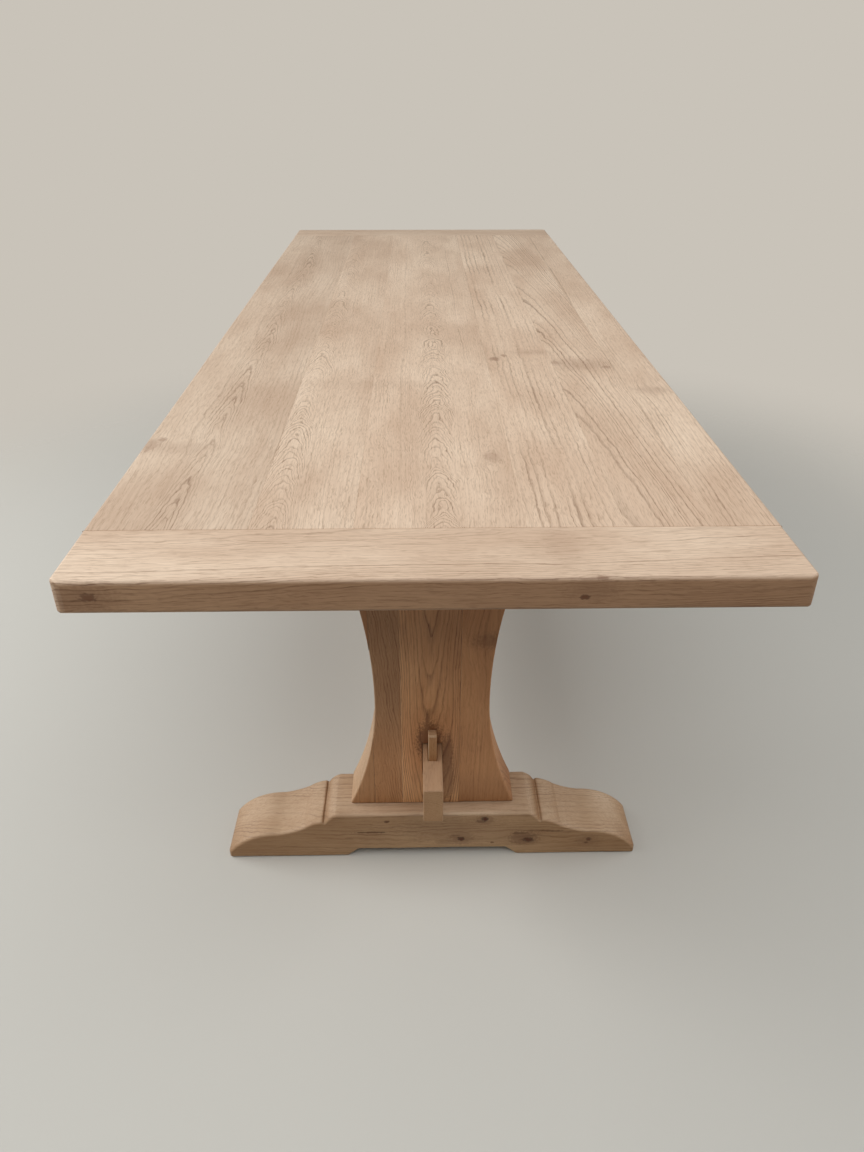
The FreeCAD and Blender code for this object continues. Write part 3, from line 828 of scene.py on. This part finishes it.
def jointCutters(node, pegNode, outside, inside):
    # a block for the mortise and a rod for each peg hole, from the CAD piece's own pocket and pegs
    low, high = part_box(node)
    within = [vert.co for vert in nodes[node].data.vertices
              if low.y + mm < vert.co.y < high.y - mm and vert.co.z < high.z - mm]
    floor = max(point.z for point in within if point.z < sledFoot["mortiseBelow"] * high.z)
    pocket = [point for point in within if abs(point.z - floor) < onPlane]
    corners = [Vector([choose(point[axis] for point in pocket) for axis in range(3)])
               for choose in (min, max)]
    corners[1].z = high.z + sledFoot["mortiseAbove"] * mm
    work = bmesh.new()
    bmesh.ops.create_cube(work, size=1)
    for vert in work.verts:
        vert.co = Vector([corners[vert.co[axis] > 0][axis] for axis in range(3)])
    shapes = [work]
    # a rod stands a little past the inner face
    past = Vector((0, math.copysign(mm, inside - outside), 0))
    for first, last in islands(pegNode):
        middle, size = (first + last) / 2, last - first
        work = bmesh.new()
        bmesh.ops.create_cone(work, cap_ends=True, segments=sledFoot["holeSides"],
                              radius1=size.x / 2, radius2=size.x / 2, depth=size.y)
        turn = Matrix.Translation(middle + past) @ Matrix.Rotation(math.pi / 2, 4, "X")
        bmesh.ops.transform(work, verts=work.verts, matrix=turn)
        shapes.append(work)
    return [addObject("cutter", meshFrom(work, "cutter")) for work in shapes]


nearKnots = ((35, -83, 3.4, 0.8, 1.0), (39, 96, 5.2, 1.0, 0.95), (36, 89, 2.6, 0.7, 2.4),
             (-11, 53, 4.8, 1.0, 0.95), (-4, 43, 2.8, 0.65, 2.6), (-21, 111, 2.4, 0.65, 1.1),
             (-15, 177, 5.6, 0.95, 1.4), (2, 161, 2.8, 0.7, 4.0), (-16, 290, 4.4, 0.8, 0.8),
             (-23, 286, 3.4, 0.65, 0.9), (8, -113, 1.7, 0.85, 13.0), (-16, 24, 8, 0.3, 1.2),
             (7, 195, 1.8, 0.6, 16.0), (-10, 168, 14, 0.52, 1.4), (-8, 52, 13, 0.42, 1.3),
             (-20, 288, 11, 0.24, 1.2), (36, 95, 10, 0.4, 1.2), (14, 42, 26, 0.26, 2.3),
             (-2, -92, 15, 0.1, 3.0), (2, 118, 14, 0.2, 3.0), (52, 0, 12, 0.13, 9.0))
# the far foot's knots lie turned end for end, a little further along and nearer its middle
farShift, farShare = 30, -0.7
footKnots = {
    "near": nearKnots,
    "far": [(farShare * across, farShift - along, *rest) for across, along, *rest in nearKnots],
}
# the foot's darker setting is painted shade on its left end, which the stronger left lamp lights more
footGrain = {"across": "z", "along": "x", "pith": (-260, 300), "ring": 7, "taper": 0.01, "wander": 30,
             "ripple": 6, "seed": 41, "tone": (1.02, 1.07, 1.12), "darker": (150, -300, 0.1)}
bearerGrain = {"across": "z", "along": "x", "pith": (-60, 30), "ring": 4, "taper": 0.01, "wander": 24,
               "ripple": 4, "seed": 71, "tone": 0.9}
wedgeGrain = {"across": "x", "along": "z", "pith": (30, 30), "ring": 2.6, "taper": 0.01, "wander": 12,
              "ripple": 3, "seed": 81, "tone": (0.86, 0.92, 0.92)}
pedestalSeed = 51
pedestalBoards = {  # from left to right; darker is (from, to, how much), along the board, and on the left and middle boards a painted shadow of the top over their upper ends
    "lower_flare": {"pith": (120, 60), "ring": 9, "taper": 0.01, "wander": 24, "ripple": 4,
                    "tone": (0.92, 0.98, 1.0)},
    "upper_flare": {"pith": (120, 60), "ring": 9, "taper": 0.01, "wander": 24, "ripple": 4, "tone": 0.84},
    "left_board": {"pith": (-110, 50), "ring": 5, "taper": 0.12, "wander": 60, "ripple": 12,
                   "tone": (1.02, 1.08, 1.1), "lineDepth": 1.0, "darker": (-190, -20, 0.4)},
    "middle_board": {"pith": (0, -45), "ring": 9, "taper": 0.01, "wander": 20, "ripple": 4,
                     "tone": (1.19, 1.24, 1.25), "flame": (2, 80, -75, 15, 30, 0.7), "lineDepth": 1.0,
                     "darker": (-40, 110, 0.2),
                     # the second, third and fourth knots are partly dark wood and partly a painted shadow
                     # cast by the tenon to its right
                     "knots": ((-2, -118, 20, 0.7, 1.5), (21, -150, 12, 0.55, 2.6),
                               (22, -212, 15, 0.5, 2.8), (38, -190, 12, 0.25, 3.5),
                               (1, -75, 2.0, 0.5, 7.0))},
    "right_board": {"pith": (110, 50), "ring": 10, "taper": 0.01, "wander": 30, "ripple": 5,
                    "tone": (0.88, 0.83, 0.76), "knots": ((4, 94, 36, 0.42, 0.3, 32, 0.45),),
                    "darker": (-150, -260, 0.28)},
}
for end, way in ends.items():
    node = f"{end}_foot"
    low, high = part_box(node)
    footTop = high.z
    spec = dict(footGrain, centre=(low + high) / 2, seed=footGrain["seed"] + way, knots=footKnots[end])
    spec["pith"] = (spec["pith"][0], way * spec["pith"][1])
    outside, inside = (high.y, low.y) if way > 0 else (low.y, high.y)
    cutters = jointCutters(node, f"{end}_foot_pegs", outside, inside)
    piece = loftedFoot(node, f"{end}_sledFoot", outside, inside, cutters)
    settle(piece, oak(f"oiledOak_{end}Foot", spec, footOak), "x", "table", "trestle_oak", node)
    for cutter in cutters:
        bpy.data.objects.remove(cutter)

    node = f"{end}_bearer"
    low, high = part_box(node)
    bearerFloor = low.z
    spec = dict(bearerGrain, centre=(low + high) / 2, seed=bearerGrain["seed"] + way)
    piece = easedCopy(node, f"{end}_sweptBearer", easing["bearer"], ((2, high.z, 0),))
    settle(piece, oak(f"oiledOak_{end}Bearer", spec, trestleOak), "x", "table", "trestle_oak", node)

    boxes = {board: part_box(f"{end}_pedestal_{board}") for board in pedestalBoards}
    glueLines = [boxes[board][0].x for board in ("left_board", "middle_board", "right_board")]
    planes = [(0, line, easing["glueLine"]) for line in glueLines]
    planes += [(2, bearerFloor, 0), (2, boxes["upper_flare"][0].z, 0), (2, footTop, easing["base"])]
    for number, (board, spec) in enumerate(pedestalBoards.items()):
        node = f"{end}_pedestal_{board}"
        low, high = boxes[board]
        spec = dict(spec, across="x", along="z", centre=(low + high) / 2,
                    seed=pedestalSeed + pedestalStep * number + way)
        spec["pith"] = (spec["pith"][0], -way * spec["pith"][1])
        # a knot's place through the board is counted towards the outer face
        spec["knots"] = [(*place[:5], *(-way * through for through in place[5:6]), *place[6:])
                         for place in spec.get("knots", ())]
        thinFrom = abs(glueLines[0]) / mm if "flare" in board else None
        piece = easedCopy(node, f"{end}_{board}", easing["pedestal"], planes, thinFrom)
        settle(piece, oak(f"oiledOak_{end}_{board}", spec, trestleOak), "z", "table", "trestle_oak", node)

    node = f"{end}_tusk_wedge"
    low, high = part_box(node)
    spec = dict(wedgeGrain, centre=(low + high) / 2, seed=wedgeGrain["seed"] + way)
    piece = easedCopy(node, f"{end}_wedge_piece", easing["wedge"])
    settle(piece, oak(f"oiledOak_{end}Wedge", spec, trestleOak), "z", f"{end}_wedge", "trestle_oak", node)

roundSides = {"peg": 28, "head": 28, "socket": 6, "shank": 20, "washer": 36}
# share of the head's and of the shank's radius at their narrow ends
screwForm = {"rim": 0.82, "point": 0.08}
washerCorner = 3  # points on each softened edge


def pegTree():
    # a chamfered dowel on each point
    tree, into, out = newGroup(
        "pegTree", "GeometryNodeTree",
        {"Points": "Geometry", "Diameter": "Float", "Length": "Float", "Chamfer": "Float",
         "Turn": "Vector", "Material": "Material"},
        {"Geometry": "Geometry"})
    add = partial(addNode, tree)
    radius = add("MULTIPLY", (into["Diameter"], 0.5))[0]
    half = add("MULTIPLY", (into["Length"], 0.5))[0]
    dowel = add("GeometryNodeMeshCylinder", {"Vertices": roundSides["peg"], "Side Segments": 3,
                                             "Radius": radius, "Depth": into["Length"]})["Mesh"]
    point = add("GeometryNodeInputPosition")[0]
    place = add(splitNode, (point,))
    reach = add("ABSOLUTE", (place[2],))[0]
    atEnd = add("FunctionNodeCompare", {0: reach, 1: half, "Epsilon": onPlane}, data_type="FLOAT",
                operation="EQUAL")[0]
    narrow = add("SUBTRACT", (radius, into["Chamfer"]))[0]
    narrow = add("DIVIDE", (narrow, radius))[0]
    narrow = add(switchNode, (atEnd, 1.0, narrow), input_type="FLOAT")[0]
    side = add("SIGN", (place[2],))[0]
    shoulder = add("SUBTRACT", (half, into["Chamfer"]))[0]
    shoulder = add("MULTIPLY", (shoulder, side))[0]
    upright = add(switchNode, (atEnd, shoulder, place[2]), input_type="FLOAT")[0]
    sideways = [add("MULTIPLY", (place[axis], narrow))[0] for axis in (0, 1)]
    moved = add(joinNode, (*sideways, upright))[0]
    dowel = add("GeometryNodeSetPosition", {"Geometry": dowel, "Position": moved})[0]
    placed = add("GeometryNodeInstanceOnPoints",
                 {"Points": into["Points"], "Instance": dowel, "Rotation": into["Turn"]})[0]
    return finishTree(tree, placed, into, out)


def screwTree():
    # a screw on each point, head down: tapered head with a hexagon socket, plain shank and point
    tree, into, out = newGroup(
        "screwTree", "GeometryNodeTree",
        {"Points": "Geometry", "Head Diameter": "Float", "Head Height": "Float", "Socket": "Float",
         "Shank Diameter": "Float", "Length": "Float", "Tip": "Float", "Material": "Material"},
        {"Geometry": "Geometry"})
    add = partial(addNode, tree)
    headRadius, socketRadius, shankRadius = (add("MULTIPLY", (into[name], 0.5))[0]
                                             for name in ("Head Diameter", "Socket", "Shank Diameter"))
    rim = add("MULTIPLY", (headRadius, screwForm["rim"]))[0]
    straight = add("SUBTRACT", (into["Length"], into["Head Height"]))[0]
    straight = add("SUBTRACT", (straight, into["Tip"]))[0]
    fine = add("MULTIPLY", (shankRadius, screwForm["point"]))[0]
    socket = add("GeometryNodeMeshCylinder", {"Vertices": roundSides["socket"], "Radius": socketRadius,
                                              "Depth": into["Head Height"]})["Mesh"]
    head = add("GeometryNodeMeshCone", {"Vertices": roundSides["head"], "Radius Bottom": rim,
                                        "Radius Top": headRadius, "Depth": into["Head Height"]})["Mesh"]
    head = add("GeometryNodeMeshBoolean", {"Mesh 1": head, "Mesh 2": socket}, operation="DIFFERENCE",
               solver="EXACT")[0]
    whole = add("GeometryNodeJoinGeometry", (head,))[0]
    point = add("ADD", (into["Head Height"], straight))[0]
    for top, depth, base in ((shankRadius, straight, into["Head Height"]), (fine, into["Tip"], point)):
        cone = add("GeometryNodeMeshCone", {"Vertices": roundSides["shank"], "Depth": depth,
                                            "Radius Bottom": shankRadius, "Radius Top": top})["Mesh"]
        offset = add(joinNode, {2: base})[0]
        cone = add("GeometryNodeTransform", {"Geometry": cone, "Translation": offset})[0]
        tree.links.new(cone, whole.node.inputs[0])
    lowered = add("MULTIPLY", (into["Length"], -0.5))[0]
    lowered = add(joinNode, {2: lowered})[0]
    screw = add("GeometryNodeTransform", {"Geometry": whole, "Translation": lowered})[0]
    placed = add("GeometryNodeInstanceOnPoints", {"Points": into["Points"], "Instance": screw})[0]
    return finishTree(tree, placed, into, out)


def washerTree():
    # a flat ring with softened edges on each point
    tree, into, out = newGroup(
        "washerTree", "GeometryNodeTree",
        {"Points": "Geometry", "Outside": "Float", "Hole": "Float", "Thickness": "Float",
         "Softening": "Float", "Material": "Material"},
        {"Geometry": "Geometry"})
    add = partial(addNode, tree)
    both = add("ADD", (into["Outside"], into["Hole"]))[0]
    middle = add("MULTIPLY", (both, 0.25))[0]
    gap = add("SUBTRACT", (into["Outside"], into["Hole"]))[0]
    wide = add("MULTIPLY", (gap, 0.5))[0]
    circle = add("GeometryNodeCurvePrimitiveCircle",
                 {"Resolution": roundSides["washer"], "Radius": middle})[0]
    section = add("GeometryNodeCurvePrimitiveQuadrilateral",
                  {"Width": wide, "Height": into["Thickness"]})[0]
    section = add("GeometryNodeFilletCurve", {"Curve": section, "Radius": into["Softening"],
                                              "Count": washerCorner}, mode="POLY")[0]
    ring = add("GeometryNodeCurveToMesh", {"Curve": circle, "Profile Curve": section})[0]
    placed = add("GeometryNodeInstanceOnPoints", {"Points": into["Points"], "Instance": ring})[0]
    return finishTree(tree, placed, into, out)


pegGrain = {"pith": (20, 30), "ring": 2.4, "taper": 0.01, "wander": 6, "ripple": 2, "seed": 61}
fasteners = {  # each kind's tree, long axis and the sizes that the frame doesn't give
    "breadboard_pegs": {"kind": "peg", "axis": "z", "sizes": {"Chamfer": 1.0}},
    "bearer_pegs": {"kind": "peg", "axis": "y", "sizes": {"Chamfer": 1.2}},
    "foot_pegs": {"kind": "peg", "axis": "y", "sizes": {"Chamfer": 1.2}},
    "top_screws": {"kind": "screw", "axis": "z",
                   "sizes": {"Head Height": 4.0, "Socket": 5.0, "Shank Diameter": 6.0, "Tip": 6.0}},
    "top_washers": {"kind": "washer", "axis": "z", "sizes": {"Hole": 6.6, "Softening": 0.4}},
}
trees = {"peg": pegTree(), "screw": screwTree(), "washer": washerTree()}
zinc = zincPlate()
for end in ends:
    for name, spec in fasteners.items():
        node = f"{end}_{name}"
        boxes = islands(node)
        middles = [(low + high) / 2 for low, high in boxes]
        size = boxes[0][1] - boxes[0][0]
        wide, long = size.x, size["xyz".index(spec["axis"])]
        sizes = {key: value * mm for key, value in spec["sizes"].items()}
        if spec["kind"] == "peg":
            low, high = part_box(node)
            lying = spec["axis"] == "y"
            grain = dict(pegGrain, across="x" if lying else "y", along=spec["axis"],
                         centre=(low + high) / 2)
            material, slot = oak(f"bareOak_{end}_{name}", grain, trestleOak), "peg_oak"
            turn = Vector((math.pi / 2 if lying else 0, 0, 0))
            sizes.update({"Diameter": wide, "Length": long, "Turn": turn})
        else:
            material, slot = zinc, "zinc_steel"
            sizes.update({"Head Diameter": wide, "Length": long, "Outside": wide, "Thickness": long})
        piece = grow(f"{end}_{name}_set", trees[spec["kind"]], {**sizes, "Material": material}, middles)
        settle(piece, material, spec["axis"], "table", slot, node)
print("pegs, screws and washers")

# its low tone is painted shade for the tenon under the top
stretcherGrain = {"across": "z", "along": "y", "pith": (-50, 20), "ring": 6, "taper": 0.004, "wander": 30,
                  "ripple": 4, "tone": 0.78, "seed": 91}
low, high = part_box("stretcher")
spec = dict(stretcherGrain, centre=(low + high) / 2)
piece = easedCopy("stretcher", "stretcher_rail", easing["stretcher"])
settle(piece, oak("oiledOak_stretcher", spec, stretcherOak), "y", "table", "trestle_oak", "stretcher")
print("trestles and stretcher")

camera = {
    "place": (-0.0195, -2.1, 1.2672),  # metres
    "pitch": 30.62, "yaw": 0.956, "roll": -0.023,  # degrees
    "focal": 857.0, "imageHeight": 1152.0,  # pixels
    "sensor": 36.0,  # millimetres, on the image's long side
}


def makeCamera():
    pitch, yaw, roll = (math.radians(camera[name]) for name in ("pitch", "yaw", "roll"))
    forward = Vector((math.sin(yaw) * math.cos(pitch), math.cos(yaw) * math.cos(pitch), -math.sin(pitch)))
    right = Vector((math.cos(yaw), -math.sin(yaw), 0))
    down = forward.cross(right)
    sideways = math.cos(roll) * right + math.sin(roll) * down
    upright = math.sin(roll) * right - math.cos(roll) * down
    lens = bpy.data.cameras.new("camera")
    lens.sensor_width = camera["sensor"]
    lens.lens = camera["sensor"] * camera["focal"] / camera["imageHeight"]
    made = addObject("camera", lens)
    turn = Matrix((sideways, upright, -forward)).transposed().to_4x4()
    made.matrix_world = Matrix.Translation(camera["place"]) @ turn
    scene.camera = made


makeCamera()

studio = {
    "floor": "#C8C8C3", "backdrop": "#C9C3B9", "ambient": "#FBFAF8", "ambientLevel": 0.05,
    "floorRadius": 3.2, "floorMiddle": (0, -0.4), "fadeFrom": 1.2, "fadeTo": 2.8,  # metres
    "floorSides": 96, "floorDrop": 0.2,  # millimetres under the feet
}


def makeStudio():
    work = bmesh.new()
    bmesh.ops.create_circle(work, cap_ends=True, segments=studio["floorSides"],
                            radius=studio["floorRadius"])
    floor = addObject("floor", meshFrom(work, "floor"))
    floor.location = (*studio["floorMiddle"], -studio["floorDrop"] * mm)
    # painted floor, plain and matt, which fades into the backdrop away from the table
    material, tree = newMaterial("paintedFloor")
    add = partial(addNode, tree)
    place = add("ShaderNodeTexCoord")["Object"]
    away = add(vectorNode, (place,), operation="LENGTH")[1]
    fade = add(rangeNode, (away, studio["fadeFrom"], studio["fadeTo"]),
               interpolation_type="SMOOTHSTEP")[0]
    paint = add("ShaderNodeBsdfDiffuse", {"Color": linear(studio["floor"])})[0]
    clear = add("ShaderNodeBsdfTransparent")[0]
    mixed = add("ShaderNodeMixShader", (fade, paint, clear))[0]
    add("ShaderNodeOutputMaterial", {"Surface": mixed})
    floor.data.materials.append(material)

    world = bpy.data.worlds.new("studio")
    scene.world = world
    world.use_nodes = True
    tree = world.node_tree
    tree.nodes.clear()
    add = partial(addNode, tree)
    ray = add("ShaderNodeLightPath")
    seen = add("MAXIMUM", (ray["Is Camera Ray"], ray["Is Glossy Ray"]))[0]
    lit = add("ShaderNodeBackground",
              {"Color": linear(studio["ambient"]), "Strength": studio["ambientLevel"]})[0]
    shown = add("ShaderNodeBackground", {"Color": linear(studio["backdrop"])})[0]
    mixed = add("ShaderNodeMixShader", (seen, lit, shown))[0]
    add("ShaderNodeOutputWorld", {"Surface": mixed})


makeStudio()

lamps = {  # place, target and size in metres, power in watts
    "overhead": {"place": (-0.2, -1.0, 3.4), "target": (0, -0.8, 0), "size": (5, 5), "power": 42},
    "left": {"place": (-3.6, -0.2, 2.3), "target": (0, -0.4, 0.3), "size": (4, 2.6), "power": 142},
    "right": {"place": (3.6, -0.1, 2.3), "target": (0, -0.4, 0.3), "size": (4, 2.6), "power": 64},
    "front": {"place": (0, -3.4, 3.6), "target": (0, -0.9, 0.3), "size": (4, 2), "power": 60},
}
lampHue = "#FFFDFA"
for name, lamp in lamps.items():
    light = bpy.data.lights.new(name, "AREA")
    light.shape = "RECTANGLE"
    light.size, light.size_y = lamp["size"]
    light.energy = lamp["power"]
    light.color = linear(lampHue)[:3]
    made = addObject(name, light)
    made.location = lamp["place"]
    towards = Vector(lamp["target"]) - Vector(lamp["place"])
    made.rotation_euler = towards.to_track_quat("-Z", "Y").to_euler()
print("camera, floor and light")
